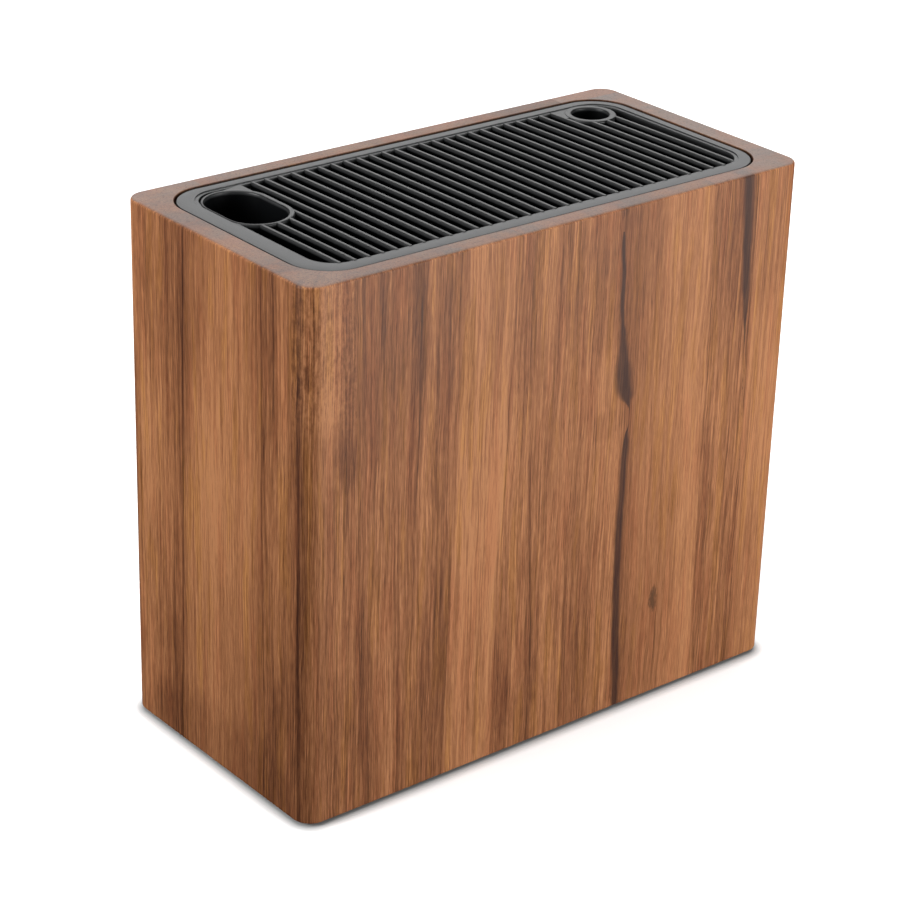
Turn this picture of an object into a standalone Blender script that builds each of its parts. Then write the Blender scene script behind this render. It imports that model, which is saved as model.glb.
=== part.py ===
"""Knife block: a hollow case glued up from upright hardwood staves, and a plastic insert that lifts
out of it. The insert has a row of upright plates with open slots between them for blades, an oval
chute for scissors and a round chute for a sharpening steel.

Metres, +Z up. The origin is at the bottom centre. X runs along the case and the front faces -Y.
"""

import math

import bmesh
import bpy

MM = 0.001

# Case, outside
CASE_WIDTH = 247 * MM
CASE_DEPTH = 121 * MM
CASE_TOP = 225 * MM
CASE_BOTTOM = 1.3 * MM
CASE_CORNER = 8 * MM
TOP_EASE = 1.2 * MM
BOTTOM_EASE = 0.6 * MM

# Case, inside: a rebate round the mouth carries the insert's flange. The end walls, and the rim
# over them, are thicker by END_EXTRA than the long ones.
WALL = 10.2 * MM
END_EXTRA = 1.6 * MM
CAVITY_CORNER = 15 * MM
RIM = 8.2 * MM
RIM_EASE = 0.4 * MM
REBATE_CORNER = 18 * MM
REBATE_DEPTH = 3.2 * MM
BASE_THICKNESS = 10 * MM

# Glued joints between staves, as X along the long walls and Y along the end walls
FRONT_JOINTS = [x * MM for x in (-99.5, -54, -28, 33, 77, 100.5)]
BACK_JOINTS = [x * MM for x in (-92, -51, -2, 45, 92)]
END_JOINTS = [y * MM for y in (-32.5, 22.5)]

# Pads under the base board
FOOT_RADIUS = 7 * MM
FOOT_THICKNESS = 1 * MM
FOOT_INSET = 24 * MM

# Insert: the flange sits just below the rim, and the ledge round the opening just below the flange
FLANGE_DROP = 0.5 * MM
LEDGE_DROP = 0.9 * MM
FLANGE_PLAY = 0.8 * MM
FLANGE_EASE = 0.3 * MM
LEDGE_WIDTH = 1.5 * MM
LEDGE_THICKNESS = 2.5 * MM
SKIRT_PLAY = 0.6 * MM
SKIRT_WALL = 1.6 * MM
SKIRT_DEPTH = 40 * MM
INSERT_DEPTH = 150 * MM

# Opening inside the ledge
OPENING_LEFT = -105.0 * MM
OPENING_RIGHT = 107.7 * MM
OPENING_FRONT = -43.7 * MM
OPENING_BACK = 45.6 * MM
OPENING_CORNER = 11.5 * MM

# Slot plates
PLATE_COUNT = 32
FIRST_PLATE_X = -97.3 * MM
LAST_PLATE_X = 101.3 * MM
PLATE_THICKNESS = 1.8 * MM
PLATE_ROUND = 0.7 * MM

# Chutes: centre, half the straight length along Y, and the radius of the round ends
SCISSORS_X = -91.5 * MM
SCISSORS_Y = 23.7 * MM
SCISSORS_STRAIGHT = 6.8 * MM
SCISSORS_RADIUS = 12 * MM
STEEL_X = 93.9 * MM
STEEL_Y = 36.0 * MM
STEEL_RADIUS = 8 * MM
CHUTE_WALL = 1.2 * MM
CHUTE_RISE = 0.3 * MM
CHUTE_EASE = 0.3 * MM

GAP = 0.3 * MM
CORNER_STEPS = 8
EASE_STEPS = 3
ROUND_STEPS = 12

HALF_WIDTH = CASE_WIDTH / 2
HALF_DEPTH = CASE_DEPTH / 2
FLANGE_TOP = CASE_TOP - FLANGE_DROP
LEDGE_TOP = CASE_TOP - LEDGE_DROP
SHELF = CASE_TOP - REBATE_DEPTH
INSERT_BOTTOM = CASE_TOP - INSERT_DEPTH


def material(name, color, roughness):
    """One plain Principled material."""
    made = bpy.data.materials.new(name)
    made.use_nodes = True
    shader = made.node_tree.nodes["Principled BSDF"]
    shader.inputs["Base Color"].default_value = (*color, 1.0)
    shader.inputs["Roughness"].default_value = roughness
    return made


def add(name, bm, made, parent, smooth=False):
    """Turns a bmesh into a named object with its faces pointing out."""
    bmesh.ops.recalc_face_normals(bm, faces=bm.faces)
    mesh = bpy.data.meshes.new(name)
    bm.to_mesh(mesh)
    bm.free()
    mesh.materials.append(made)
    if smooth:
        mesh.shade_smooth()
        mesh.set_sharp_from_angle(angle=math.radians(35))
    piece = bpy.data.objects.new(name, mesh)
    bpy.context.collection.objects.link(piece)
    piece.parent = parent
    return piece


def rounded_rectangle(left, right, front, back, corner, z):
    """The points of one level ring, anticlockwise from the right end of the front side."""
    centres = [
        (right - corner, front + corner, -90),
        (right - corner, back - corner, 0),
        (left + corner, back - corner, 90),
        (left + corner, front + corner, 180),
    ]
    points = []
    for x, y, start in centres:
        for step in range(CORNER_STEPS + 1):
            angle = math.radians(start + 90 * step / CORNER_STEPS)
            points.append((x + corner * math.cos(angle), y + corner * math.sin(angle), z))
    return points


def case_ring(inset, corner, z):
    """A level ring at one distance inside the case's outside."""
    width = HALF_WIDTH - inset
    depth = HALF_DEPTH - inset
    return rounded_rectangle(-width, width, -depth, depth, corner, z)


def hollow_ring(inset, corner, z):
    """A level ring inside the case, set in further at the ends, where the walls are thicker."""
    width = HALF_WIDTH - inset - END_EXTRA
    depth = HALF_DEPTH - inset
    return rounded_rectangle(-width, width, -depth, depth, corner, z)


def opening_ring(grow, z):
    """A level ring at one distance outside the insert's opening."""
    return rounded_rectangle(
        OPENING_LEFT - grow,
        OPENING_RIGHT + grow,
        OPENING_FRONT - grow,
        OPENING_BACK + grow,
        OPENING_CORNER + grow,
        z,
    )


def oval_ring(x, y, straight, radius, z):
    """A level ring with round ends and straight sides along Y; with no straight it is a circle."""
    points = []
    for step in range(2 * ROUND_STEPS + 1):
        angle = math.pi * step / (2 * ROUND_STEPS)
        points.append((x + radius * math.cos(angle), y + straight + radius * math.sin(angle), z))
    first = 0 if straight else 1
    last = 2 * ROUND_STEPS + 1 if straight else 2 * ROUND_STEPS
    for step in range(first, last):
        angle = math.pi + math.pi * step / (2 * ROUND_STEPS)
        points.append((x + radius * math.cos(angle), y - straight + radius * math.sin(angle), z))
    return points


def loft(rings, hollow):
    """Skins a stack of rings. A hollow solid joins the last ring to the first, others get caps."""
    bm = bmesh.new()
    loops = [[bm.verts.new(point) for point in ring] for ring in rings]
    pairs = list(zip(loops, loops[1:]))
    if hollow:
        pairs.append((loops[-1], loops[0]))
    for lower, upper in pairs:
        for index in range(len(lower)):
            after = (index + 1) % len(lower)
            bm.faces.new((lower[index], lower[after], upper[after], upper[index]))
    if not hollow:
        bm.faces.new(loops[0])
        bm.faces.new(loops[-1])
    return bm


def case_body():
    """The whole ring of walls in one piece, before it is divided into staves."""
    rings = [
        case_ring(BOTTOM_EASE, CASE_CORNER - BOTTOM_EASE, CASE_BOTTOM),
        case_ring(0, CASE_CORNER, CASE_BOTTOM + BOTTOM_EASE),
    ]
    for step in range(EASE_STEPS + 1):
        angle = math.radians(90 * step / EASE_STEPS)
        inset = TOP_EASE * (1 - math.cos(angle))
        z = CASE_TOP - TOP_EASE * (1 - math.sin(angle))
        rings.append(case_ring(inset, CASE_CORNER - inset, z))
    rings += [
        hollow_ring(RIM - RIM_EASE, REBATE_CORNER + RIM_EASE, CASE_TOP),
        hollow_ring(RIM, REBATE_CORNER, CASE_TOP - RIM_EASE),
        hollow_ring(RIM, REBATE_CORNER, SHELF),
        hollow_ring(WALL, CAVITY_CORNER, SHELF),
        hollow_ring(WALL, CAVITY_CORNER, CASE_BOTTOM),
    ]
    return loft(rings, hollow=True)


def keep_between(bm, axis, low, high):
    """Cuts a solid with two planes square to an axis, keeps what lies between, closes the cuts."""
    for place, side in ((low, -1), (high, 1)):
        if place is None:
            continue
        origin = [0, 0, 0]
        normal = [0, 0, 0]
        origin[axis] = place
        normal[axis] = side
        geometry = bm.verts[:] + bm.edges[:] + bm.faces[:]
        bmesh.ops.bisect_plane(bm, geom=geometry, plane_co=origin, plane_no=normal, clear_outer=True)
        open_edges = [edge for edge in bm.edges if edge.is_boundary]
        bmesh.ops.holes_fill(bm, edges=open_edges, sides=0)


def staves(prefix, wood, parent, axis, joints, across, low, high):
    """Divides one wall of the case at its glued joints."""
    edges = [None, *joints, None]
    for index, (start, end) in enumerate(zip(edges, edges[1:])):
        bm = case_body()
        keep_between(bm, across, low, high)
        near = None if start is None else start + GAP / 2
        far = None if end is None else end - GAP / 2
        keep_between(bm, axis, near, far)
        tone = wood[index % len(wood)]
        add(f"{prefix}_stave_{index + 1}", bm, tone, parent, smooth=True)


def build_case(parent, wood):
    """The four walls in staves, and the base board between them."""
    inner_y = HALF_DEPTH - WALL
    inner_x = HALF_WIDTH - CAVITY_CORNER - WALL - END_EXTRA
    staves("front", wood, parent, 0, FRONT_JOINTS, 1, None, -inner_y - GAP / 2)
    staves("back", wood, parent, 0, BACK_JOINTS, 1, inner_y + GAP / 2, None)
    for prefix, side in (("left", -1), ("right", 1)):
        edges = [-inner_y + GAP / 2, *END_JOINTS, inner_y - GAP / 2]
        for index in range(len(edges) - 1):
            bm = case_body()
            keep_between(bm, 0, None if side < 0 else inner_x, -inner_x if side < 0 else None)
            near = edges[index] if index == 0 else edges[index] + GAP / 2
            far = edges[index + 1] if index == len(edges) - 2 else edges[index + 1] - GAP / 2
            keep_between(bm, 1, near, far)
            tone = wood[(index + 1) % len(wood)]
            add(f"{prefix}_stave_{index + 1}", bm, tone, parent, smooth=True)
    inset = WALL + GAP
    corner = CAVITY_CORNER - GAP
    board = [
        hollow_ring(inset, corner, CASE_BOTTOM),
        hollow_ring(inset, corner, CASE_BOTTOM + BASE_THICKNESS),
    ]
    add("base_board", loft(board, hollow=False), wood[0], parent)


def build_feet(parent, pad):
    """Four thin round pads under the base board."""
    for end, x in (("left", -1), ("right", 1)):
        for face, y in (("front", -1), ("back", 1)):
            foot_x = x * (HALF_WIDTH - FOOT_INSET)
            foot_y = y * (HALF_DEPTH - FOOT_INSET)
            rings = [oval_ring(foot_x, foot_y, 0, FOOT_RADIUS, z) for z in (0, FOOT_THICKNESS)]
            add(f"foot_{face}_{end}", loft(rings, hollow=False), pad, parent, smooth=True)


def build_frame(parent, plastic):
    """Flange, ledge and skirt of the insert: one moulding, open top and bottom."""
    outer = RIM + FLANGE_PLAY
    corner = REBATE_CORNER - FLANGE_PLAY
    skirt = WALL + SKIRT_PLAY
    inner = skirt + SKIRT_WALL
    underside = SHELF + GAP
    ledge_underside = LEDGE_TOP - LEDGE_THICKNESS
    skirt_bottom = CASE_TOP - SKIRT_DEPTH
    skirt_corner = CAVITY_CORNER - SKIRT_PLAY
    rings = [
        hollow_ring(outer, corner, underside),
        hollow_ring(outer, corner, FLANGE_TOP - FLANGE_EASE),
        hollow_ring(outer + FLANGE_EASE, corner - FLANGE_EASE, FLANGE_TOP),
        opening_ring(LEDGE_WIDTH, FLANGE_TOP),
        opening_ring(LEDGE_WIDTH, LEDGE_TOP),
        opening_ring(0, LEDGE_TOP),
        opening_ring(0, ledge_underside),
        hollow_ring(inner, skirt_corner - SKIRT_WALL, ledge_underside),
        hollow_ring(inner, skirt_corner - SKIRT_WALL, skirt_bottom),
        hollow_ring(skirt, skirt_corner, skirt_bottom),
        hollow_ring(skirt, skirt_corner, underside),
    ]
    add("insert_frame", loft(rings, hollow=True), plastic, parent, smooth=True)


def front_of_opening(x):
    """Y of the opening's front side at one X, along the round corners too."""
    left = OPENING_LEFT + OPENING_CORNER - x
    right = x - OPENING_RIGHT + OPENING_CORNER
    into = max(left, right, 0)
    return OPENING_FRONT + OPENING_CORNER - math.sqrt(OPENING_CORNER**2 - into**2)


def back_of_plate(x):
    """Y where a plate ends at the back: the opening's side, or the chute that stands in its way."""
    back = OPENING_BACK - GAP
    chutes = (
        (SCISSORS_X, SCISSORS_Y - SCISSORS_STRAIGHT, SCISSORS_RADIUS),
        (STEEL_X, STEEL_Y, STEEL_RADIUS),
    )
    for chute_x, chute_y, radius in chutes:
        clear = radius + CHUTE_WALL + GAP
        beside = max(abs(x - chute_x) - PLATE_THICKNESS / 2, 0)
        if beside < clear:
            back = min(back, chute_y - math.sqrt(clear**2 - beside**2))
    return back


def plate_section():
    """Outline of a plate across X and Z, with its two top edges rounded."""
    half = PLATE_THICKNESS / 2
    flat = half - PLATE_ROUND
    outline = [(-half, INSERT_BOTTOM), (half, INSERT_BOTTOM)]
    for sign, steps in ((1, range(EASE_STEPS + 1)), (-1, range(EASE_STEPS, -1, -1))):
        for step in steps:
            angle = math.radians(90 * step / EASE_STEPS)
            x = sign * (flat + PLATE_ROUND * math.cos(angle))
            outline.append((x, LEDGE_TOP - PLATE_ROUND * (1 - math.sin(angle))))
    return outline


def build_plates(parent, plastic):
    """The row of upright plates, each as long as the opening and the chutes leave room for."""
    pitch = (LAST_PLATE_X - FIRST_PLATE_X) / (PLATE_COUNT - 1)
    section = plate_section()
    for index in range(PLATE_COUNT):
        x = FIRST_PLATE_X + index * pitch
        reach = x + math.copysign(PLATE_THICKNESS / 2, x)
        front = front_of_opening(reach) + GAP
        back = back_of_plate(x)
        rings = [[(x + dx, y, z) for dx, z in section] for y in (front, back)]
        add(f"slot_plate_{index + 1:02d}", loft(rings, hollow=False), plastic, parent, smooth=True)


def build_chute(name, parent, plastic, x, y, straight, radius):
    """An upright tube with eased edges at its mouth, open at both ends."""
    outer = radius + CHUTE_WALL
    mouth = LEDGE_TOP + CHUTE_RISE
    rings = [
        oval_ring(x, y, straight, outer, INSERT_BOTTOM),
        oval_ring(x, y, straight, outer, mouth - CHUTE_EASE),
        oval_ring(x, y, straight, outer - CHUTE_EASE, mouth),
        oval_ring(x, y, straight, radius + CHUTE_EASE, mouth),
        oval_ring(x, y, straight, radius, mouth - CHUTE_EASE),
        oval_ring(x, y, straight, radius, INSERT_BOTTOM),
    ]
    add(name, loft(rings, hollow=True), plastic, parent, smooth=True)


def main():
    for old in list(bpy.data.objects):
        bpy.data.objects.remove(old)
    wood = [
        material("acacia_mid", (0.34, 0.155, 0.075), 0.5),
        material("acacia_light", (0.45, 0.215, 0.1), 0.5),
        material("acacia_dark", (0.24, 0.11, 0.06), 0.5),
    ]
    plastic = material("insert_plastic", (0.022, 0.023, 0.024), 0.42)
    pad = material("foot_rubber", (0.03, 0.03, 0.03), 0.8)
    case = bpy.data.objects.new("case", None)
    insert = bpy.data.objects.new("insert", None)
    for empty in (case, insert):
        bpy.context.collection.objects.link(empty)
    build_case(case, wood)
    build_feet(case, pad)
    build_frame(insert, plastic)
    build_plates(insert, plastic)
    build_chute(
        "scissors_chute",
        insert,
        plastic,
        SCISSORS_X,
        SCISSORS_Y,
        SCISSORS_STRAIGHT,
        SCISSORS_RADIUS,
    )
    build_chute("steel_chute", insert, plastic, STEEL_X, STEEL_Y, 0, STEEL_RADIUS)


main()
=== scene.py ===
import math
import random

import bmesh
import bpy
from mathutils import Matrix, Vector


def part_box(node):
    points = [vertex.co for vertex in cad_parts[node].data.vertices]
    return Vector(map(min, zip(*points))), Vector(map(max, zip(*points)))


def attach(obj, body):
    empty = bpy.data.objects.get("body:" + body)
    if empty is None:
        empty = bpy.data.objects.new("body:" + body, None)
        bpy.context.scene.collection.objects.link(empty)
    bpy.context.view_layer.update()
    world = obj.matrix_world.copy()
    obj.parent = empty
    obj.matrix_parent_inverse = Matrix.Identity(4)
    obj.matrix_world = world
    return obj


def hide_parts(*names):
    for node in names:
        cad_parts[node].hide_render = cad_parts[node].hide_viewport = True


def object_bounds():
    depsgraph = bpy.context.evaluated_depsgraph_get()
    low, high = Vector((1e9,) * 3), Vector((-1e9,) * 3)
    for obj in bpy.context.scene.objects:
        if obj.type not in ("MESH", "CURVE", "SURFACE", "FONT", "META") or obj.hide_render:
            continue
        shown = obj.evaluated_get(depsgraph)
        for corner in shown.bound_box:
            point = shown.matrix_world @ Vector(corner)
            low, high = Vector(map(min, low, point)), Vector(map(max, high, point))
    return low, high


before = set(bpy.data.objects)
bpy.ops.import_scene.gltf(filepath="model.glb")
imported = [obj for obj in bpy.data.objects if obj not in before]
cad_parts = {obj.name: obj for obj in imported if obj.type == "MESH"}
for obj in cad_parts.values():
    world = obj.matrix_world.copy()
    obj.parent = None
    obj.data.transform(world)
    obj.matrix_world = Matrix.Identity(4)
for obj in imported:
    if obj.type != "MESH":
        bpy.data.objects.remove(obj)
CAD_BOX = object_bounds()

# The looks of the knife block. Metres unless a name or a comment says millimetres. Each visible
# piece stands for one CAD node and takes its place from that node's box. The wood's grain is
# described stave by stave, in millimetres, because the grain is what tells one stave from another.

MM = 0.001

# Camera
CAMERA_AT = (-0.654, -0.786, 0.5833)
CAMERA_YAW = 0.6887
CAMERA_PITCH = 0.4364
CAMERA_ROLL = 0.0297
LENS_MM = 109.6
SENSOR_MM = 36

# Light: the world's strength, and soft boxes as name, place, width, height and power in watts
WORLD_ABOVE = 0.6
WORLD_BELOW = 0.38
WORLD_FADE = (-0.6, 0.3)
LIGHT_TARGET = (0, 0, 0.12)
SOFTBOXES = [
    ("top_softbox", (0.2, 0.3, 2.6), 2.6, 2.6, 52),
    ("right_softbox", (0.7, -1.7, 0.12), 1.1, 1.1, 51),
    ("left_softbox", (-1.25, 0.3, 0.62), 0.7, 0.7, 16),
    ("back_softbox", (1.2, 1.5, 1.0), 1.6, 0.8, 10),
]

# Floor, with a painted contact shadow: it is darker and doesn't glow within so many millimetres of the
# case
FLOOR_RADIUS = 12.0
FLOOR_GREY = 0.9
FLOOR_GREY_IN_PAINTED_SHADOW = 0.5
FLOOR_GLOW = 0.55
CONTACT_SHADOW_MM = 6.0

# Case
CASE_CORNER = 8 * MM
TOP_EASE = 1.3 * MM
BOTTOM_EASE = 0.8 * MM
WALL = 10.2 * MM
END_EXTRA = 1.6 * MM
CAVITY_CORNER = 15 * MM
RIM = 8.2 * MM
RIM_EASE = 0.5 * MM
REBATE_CORNER = 18 * MM
REBATE_DEPTH = 3.2 * MM

# Insert
FLANGE_PLAY = 0.8 * MM
FLANGE_CLEARANCE = 0.3 * MM
FLANGE_ROUND = 0.4 * MM
LEDGE_DROP = 0.4 * MM
LEDGE_WIDTH = 1.5 * MM
LEDGE_THICKNESS = 2.5 * MM
LEDGE_ROUND = 0.3 * MM
SKIRT_PLAY = 0.6 * MM
SKIRT_WALL = 1.6 * MM
OPENING_CORNER = 11.5 * MM
OPENING_MARGIN = 0.3 * MM
OPENING_LEFT_INSET = 1.0 * MM
OPENING_RIGHT_MARGIN = 4.6 * MM
PLATE_PLAY = 0.1 * MM
PLATE_RISE = 0.25 * MM
PLATE_EASE = 0.35 * MM
PLATE_BOW = 1.8 * MM
PLATE_BOW_POWER = 1.8
PLATE_LAP = 0.9 * MM
PLATE_DRAFT = 0.25 * MM
PLATE_REACH = 0.6 * MM
TIP_WIDTH = 0.45
TIP_DROP = 0.2 * MM
TIP_DEPTH = 1.2 * MM
TIP_STEPS = 5
BOW_STEPS = 14
LIP_DEPTH = 2.6 * MM
LIP_TAPER = 1.5 * MM
LIP_ROUND = 0.7 * MM
WEB_THICKNESS = 1.5 * MM
WEB_EASE = 0.15 * MM
WEB_STEPS = 10
WEB_RISE = 0.1 * MM
WEB_INTO_WALL = 1.0 * MM
WEB_INTO_LEDGE = 0.5 * MM
# Node, radius of the lip, radius inside, sideways shift of the lip, web's angles and its reach
CHUTES = [
    ("scissors_chute", 14.2 * MM, 12.3 * MM, 0.6 * MM, (20, 90), 13.0 * MM),
    ("steel_chute", 11.1 * MM, 8.0 * MM, 0.0, (172, 90), -13.3 * MM),
]

# Base board and pads
BASE_EASE = 0.6 * MM
PAD_ROUND = 0.5 * MM
PAD_GROOVE_DEPTH = 0.15 * MM
PAD_GROOVE_INSETS = (1.4 * MM, 1.7 * MM, 2.3 * MM, 2.6 * MM)

CORNER_STEPS = 14
EASE_STEPS = 6
HALF_ROUND_STEPS = 64

HIGH = CAD_BOX[1]
HALF_WIDTH = HIGH.x
HALF_DEPTH = HIGH.y
CASE_TOP = HIGH.z
CASE_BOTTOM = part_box("front_stave_1")[0].z
SHELF = CASE_TOP - REBATE_DEPTH


# ---- materials


class Graph:
    """Short calls for wiring one material's nodes. A call returns the socket it made."""

    def __init__(self, name):
        self.material = bpy.data.materials.new(name)
        self.material.use_nodes = True
        self.tree = self.material.node_tree
        self.shader = self.tree.nodes["Principled BSDF"]

    def node(self, kind, **settings):
        made = self.tree.nodes.new(kind)
        for key, value in settings.items():
            setattr(made, key, value)
        return made

    def feed(self, socket, value):
        """Links a socket to another, or sets it to a plain number, vector or colour."""
        if isinstance(value, bpy.types.NodeSocket):
            self.tree.links.new(value, socket)
        else:
            socket.default_value = value

    def look(self, name, value):
        """Feeds one of the shader's own sockets."""
        self.feed(self.shader.inputs[name], value)

    def math(self, operation, *values):
        made = self.node("ShaderNodeMath", operation=operation)
        for socket, value in zip(made.inputs, values):
            self.feed(socket, value)
        return made.outputs[0]

    def add(self, a, b):
        return self.math("ADD", a, b)

    def subtract(self, a, b):
        return self.math("SUBTRACT", a, b)

    def multiply(self, a, b):
        return self.math("MULTIPLY", a, b)

    def fade(self, value, start, end):
        """0 before start and 1 after end, with a soft step between. Start may be above end."""
        made = self.node("ShaderNodeMapRange", interpolation_type="SMOOTHSTEP")
        low, high = min(start, end), max(start, end)
        self.feed(made.inputs["Value"], value)
        made.inputs["From Min"].default_value = low
        made.inputs["From Max"].default_value = high
        made.inputs["To Min"].default_value = 0 if start < end else 1
        made.inputs["To Max"].default_value = 1 if start < end else 0
        return made.outputs[0]

    def vector(self, x, y, z):
        made = self.node("ShaderNodeCombineXYZ")
        for socket, value in zip(made.inputs, (x, y, z)):
            self.feed(socket, value)
        return made.outputs[0]

    def stretched(self, x, y, z, scales):
        """A place with each of its coordinates scaled by its own number."""
        return self.vector(*[self.multiply(part, scale) for part, scale in zip((x, y, z), scales)])

    def noise(self, vector, detail=2.0, roughness=0.5):
        """Noise between about 0 and 1, whose scale is already in the vector."""
        made = self.node("ShaderNodeTexNoise")
        self.feed(made.inputs["Vector"], vector)
        made.inputs["Scale"].default_value = 1.0
        made.inputs["Detail"].default_value = detail
        made.inputs["Roughness"].default_value = roughness
        return made.outputs[0]

    def stray(self, x, z, scales, seed, size, detail, roughness=0.5):
        """Noise over a plane, of about so large a size and centred on 0."""
        at = self.vector(self.multiply(x, scales[0]), seed, self.multiply(z, scales[1]))
        return self.multiply(self.subtract(self.noise(at, detail, roughness), 0.5), size)

    def ramp(self, value, stops):
        """A colour ramp; its stops are (place, grey) or (place, (r, g, b))."""
        made = self.node("ShaderNodeValToRGB")
        elements = made.color_ramp.elements
        while len(elements) > 1:
            elements.remove(elements[-1])
        for index, (place, color) in enumerate(stops):
            element = elements[0] if index == 0 else elements.new(place)
            element.position = place
            rgb = color if isinstance(color, tuple) else (color, color, color)
            element.color = (*rgb, 1.0)
        self.feed(made.inputs[0], value)
        return made.outputs[0]

    def curve(self, value, points, low, high):
        """A smooth curve through points (place, value), with places 0 to 1 and values low to high."""
        made = self.node("ShaderNodeFloatCurve")
        line = made.mapping.curves[0]
        while len(line.points) < len(points):
            line.points.new(0.5, 0.5)
        for spot, (place, height) in zip(line.points, sorted(points)):
            spot.location = (place, (height - low) / (high - low))
        made.mapping.update()
        self.feed(made.inputs["Value"], value)
        return self.add(self.multiply(made.outputs[0], high - low), low)

    def mix(self, factor, a, b, blend="MIX"):
        """Mixes two colours."""
        made = self.node("ShaderNodeMix", data_type="RGBA", blend_type=blend)
        self.feed(made.inputs[0], factor)
        self.feed(made.inputs[6], a)
        self.feed(made.inputs[7], b)
        return made.outputs[2]

    def place(self):
        """X, Y and Z on the object, in millimetres."""
        coordinates = self.node("ShaderNodeTexCoord").outputs["Object"]
        split = self.node("ShaderNodeSeparateXYZ")
        self.feed(split.inputs[0], coordinates)
        return [self.multiply(socket, 1 / MM) for socket in split.outputs]

    def upward(self):
        """How far the surface faces up, from -1 to 1."""
        normal = self.node("ShaderNodeTexCoord").outputs["Normal"]
        split = self.node("ShaderNodeSeparateXYZ")
        self.feed(split.inputs[0], normal)
        return split.outputs[2]

    def bump(self, height, distance, strength=1.0):
        made = self.node("ShaderNodeBump")
        made.inputs["Distance"].default_value = distance
        made.inputs["Strength"].default_value = strength
        self.feed(made.inputs["Height"], height)
        self.look("Normal", made.outputs[0])


def display(red, green, blue):
    """A colour given as it looks on screen, 0 to 255, in the linear values that a shader takes."""
    return tuple((part / 255) ** 2.2 for part in (red, green, blue))


# From the darkest mineral streak, tone 0, to the palest sapwood, tone 1
PALETTE = [
    (0.00, display(70, 42, 30)),
    (0.25, display(100, 62, 42)),
    (0.50, display(131, 84, 56)),
    (0.75, display(161, 107, 72)),
    (1.00, display(194, 134, 92)),
]
VEIN_COLOR = (*display(56, 38, 34), 1.0)
KNOT_COLOR = (*display(84, 60, 42), 1.0)
SAWN_GREY = (*display(126, 116, 111), 1.0)
SAWN_PINK = (*display(142, 114, 103), 1.0)
# The colour of the painted shade inside the case
REBATE_SHADE_COLOR = (*display(38, 26, 20), 1.0)
WOOD_SHEEN = 0.24
RED_CAST = (0.98, 0.91, 0.90, 1.0)
YELLOW_CAST = (1.02, 1.02, 0.84, 1.0)

# Streaks along the grain, as (width, length) in millimetres, from the finest to the broadest
PORE_STREAK = (0.26, 4.0)
MICRO_STREAK = (0.32, 6)
FINE_STREAK = (0.5, 24)
MEDIUM_STREAK = (1.2, 110)
RING_STREAK = (4.0, 260)
CAST_STREAK = (5, 60)
DRIFT_STREAK = (6, 80)
# How far each kind of streak moves the tone
MICRO_AMOUNT = 0.75
FINE_AMOUNT = 1.0
MEDIUM_AMOUNT = 0.75
DRIFT_AMOUNT = 0.28
RING_AMOUNT = 0.12
PORE_AMOUNT = 0.16
# How far the grain strays sideways, and how far the levels of tone stray up and down, in millimetres
SWAY_MM = 4.0
WAVE_MM = 2.2
LEVEL_DRIFT_MM = 60
LINE_END_MM = 12
# Heights over which the tone changes from the foot's to the middle's, and then to the top's. The levels
# hold the wood's own tone and also painted shade: the left wall is darker at its foot, and the front a
# little darker at its top.
LOWER_TO_MIDDLE_MM = (45, 115)
MIDDLE_TO_UPPER_MM = (125, 195)
# Scales of the curly figure's flecks, across the grain, into the wood and along the grain
CURL_SCALES = (0.5, 0.5, 0.34)
CURL_STARTS_MM = (150, 185)
# The edge of the painted shade on the routed inside of the case, and how much of its colour is that
# shade
REBATE_SHADE_EDGE_MM = (0.6, 0.2)
REBATE_SHADE_DROP_MM = 0.35
REBATE_SHADE_SHARE = 0.88
SAWN_SHARE = 0.68
SAWN_FACES_UP = (0.55, 0.95)
WOOD_ROUGHNESS = 0.40
WOOD_RELIEF = 0.05 * MM
PLASTIC_ROUGHNESS = 0.33
PLASTIC_RELIEF = 0.02 * MM
RUBBER_ROUGHNESS = 0.7
RUBBER_RELIEF = 0.04 * MM

# Plastic and rubber. Below the ledge the plastic's look at the mouth gives way to that of its
# depths, from MOUTH_ENDS_MM down to MOUTH_STARTS_MM. The near-black colours and low shine of the depths
# are painted shade for the deep slots and chutes.
WORN_PLASTIC = (0.04, 0.042, 0.044, 1.0)
MOUTH_SIDES = (0.031, 0.032, 0.033, 1.0)
CHUTE_SHADED_BLACK = (0.0025, 0.0027, 0.003)
FRAME_SHADED_BLACK = (0.008, 0.0082, 0.0086)
PLATE_SHADED_BLACK = (0.0008, 0.0009, 0.001)
MOUTH_SHINE = 0.5
CHUTE_SHINE = 0.06
FRAME_SHINE = 0.35
PLATE_SHINE = 0.01
MOUTH_STARTS_MM = 1.45
MOUTH_ENDS_MM = 0.45
SPARK_SCALES = (4.5, 4.5, 4.5)
CLOUD_SCALES = (0.05, 0.05, 0.05)
RUB_SCALES = (1.6, 0.06, 0.8)
RUBBER_BLACK = (0.022, 0.022, 0.022, 1.0)
RUBBER_BLOOM = (0.05, 0.048, 0.046, 1.0)
BLOOM_SCALES = (0.6, 0.6, 0.6)


class Grain:
    """How one stave's grain runs.

    Upper, middle and lower are lists of (fraction of its width, tone), where tone 0 is dark and 1
    pale. Lines are (x at the top, x at the foot, half width, strength, z low, z high), veins are
    lists of (z, x, half width), knots are (x, z, half width, half height), and patches are a knot's
    four numbers and a change of tone, all in millimetres with x across the grain. Figure is how
    strong the curl is, and contrast how strong the streaks are.
    """

    lines = veins = knots = patches = ()
    figure = 0.0
    contrast = 1.0

    def __init__(self, **settings):
        for key, value in settings.items():
            setattr(self, key, value)


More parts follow.
